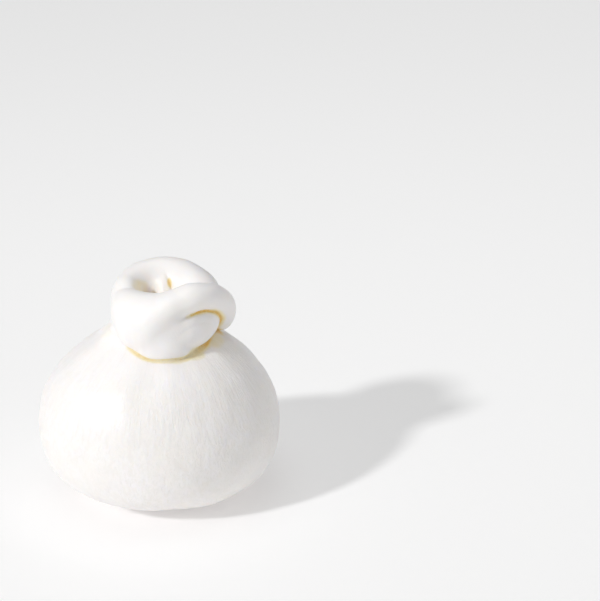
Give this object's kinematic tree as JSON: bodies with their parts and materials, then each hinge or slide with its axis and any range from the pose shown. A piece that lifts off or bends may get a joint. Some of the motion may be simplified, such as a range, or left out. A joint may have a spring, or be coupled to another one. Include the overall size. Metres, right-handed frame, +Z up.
{
  "type": "burrata",
  "caption": "Fresh cheese pouch of stretched curd that rests on a small flat underside and is closed at the top by a fat tied knot with a hollow in its middle.",
  "frame": {"origin": "on the floor, under the middle of the whole outline", "axes": "+Z up; -Y towards the side where the end of the under strand looks out of the knot; +X to the right as seen from there, where the over strand turns down"},
  "size_m": [0.084, 0.0778, 0.0822],
  "materials": {
    "curd": "moist, softly glossy skin of fresh stretched curd"
  },
  "bodies": {
    "root": {"burrata": "curd"}
  },
  "joints": []
}
